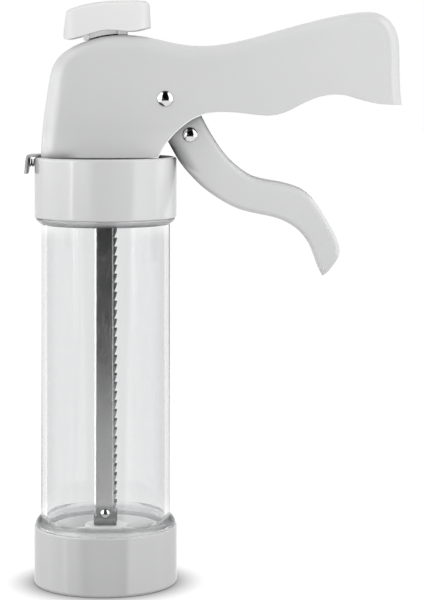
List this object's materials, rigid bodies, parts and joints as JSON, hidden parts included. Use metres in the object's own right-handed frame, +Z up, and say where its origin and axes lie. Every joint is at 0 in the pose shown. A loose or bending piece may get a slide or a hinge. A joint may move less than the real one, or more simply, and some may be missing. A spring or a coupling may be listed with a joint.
{
  "type": "cookie press",
  "caption": "Hand-held cookie press: pistol-grip housing with squeeze trigger, toothed ratchet bar with knob and plunger, clear bayonet barrel and threaded ring holding a shaping disc.",
  "frame": {"origin": "on the barrel axis, at the centre of the lower ring's resting face", "axes": "+Z up along the barrel axis, +X towards the handle"},
  "size_m": [0.1574, 0.0596, 0.2433],
  "materials": {
    "white_plastic": "fine satin moulded",
    "knob_plastic": "fine satin moulded",
    "clear_plastic": "clear polished",
    "plunger_plastic": "moulded",
    "seal_rubber": "soft matte",
    "rack_steel": "brushed stainless",
    "sheet_steel": "stamped steel",
    "bush_plastic": "natural acetal",
    "screw_steel": "zinc plated",
    "spring_steel": "drawn wire",
    "chrome": "polished",
    "disc_aluminium": "stamped satin"
  },
  "bodies": {
    "housing": {"handle_housing": "white_plastic", "head_cap": "white_plastic", "cap_base_plate": "sheet_steel", "housing_screws": "screw_steel", "pivot_pin": "chrome", "pivot_pin_cap": "chrome", "pivot_bushes": "bush_plastic", "spring_seat": "sheet_steel", "return_spring": "spring_steel", "release_spring": "spring_steel", "barrel_gasket": "seal_rubber"},
    "trigger": {"trigger_grip": "white_plastic", "trigger_lever": "sheet_steel", "trigger_rivet": "chrome", "trigger_rivet_cap": "chrome"},
    "carriage": {"drive_carriage": "sheet_steel", "pawl_pin": "screw_steel", "pawl_spring": "spring_steel"},
    "pawl": {"drive_pawl": "sheet_steel"},
    "catch": {"release_plate": "sheet_steel"},
    "plunger_rod": {"ratchet_bar": "rack_steel", "plunger": "plunger_plastic", "plunger_rivet": "chrome", "plunger_seal": "seal_rubber", "knob": "knob_plastic", "knob_pin": "screw_steel"},
    "barrel": {"barrel": "clear_plastic"},
    "disc": {"cookie_disc": "disc_aluminium"},
    "ring": {"lower_ring": "white_plastic"}
  },
  "joints": [
    {"name": "plunger_slide", "type": "slide", "parent": "housing", "child": "plunger_rod", "axis": [0, 0, 1], "range_m": [0, 0.1368]},
    {"name": "trigger_pivot", "type": "hinge", "parent": "housing", "child": "trigger", "pos_m": [0.0253, 0, 0.2025], "axis": [0, -1, 0], "range_deg": [0, 22]},
    {"name": "carriage_slide", "type": "slide", "parent": "housing", "child": "carriage", "axis": [0, 0, -1], "range_m": [0, 0.0073], "deforming": ["return_spring"]},
    {"name": "pawl_pivot", "type": "hinge", "parent": "carriage", "child": "pawl", "pos_m": [0.0112, 0, 0.2056], "axis": [0, -1, 0], "range_deg": [0, 12], "deforming": ["pawl_spring"]},
    {"name": "release_slide", "type": "slide", "parent": "housing", "child": "catch", "axis": [1, 0, 0], "range_m": [0, 0.0016], "deforming": ["release_spring"]},
    {"name": "barrel_twist", "type": "hinge", "parent": "housing", "child": "barrel", "pos_m": [0, 0, 0.164], "axis": [0, 0, 1], "range_deg": [0, 30]},
    {"name": "disc_drop", "type": "slide", "parent": "barrel", "child": "disc", "axis": [0, 0, -1], "range_m": [0, 0.00601]},
    {"name": "ring_turn", "type": "hinge", "parent": "disc", "child": "ring", "pos_m": [0, 0, 0.012], "axis": [0, 0, -1], "range_deg": [0, 540]}
  ],
  "couplings": [
    {"joint": "carriage_slide", "follows": "trigger_pivot", "m_per_rad": 0.01888},
    {"joint": "disc_drop", "follows": "ring_turn", "m_per_rad": 0.00063662}
  ]
}
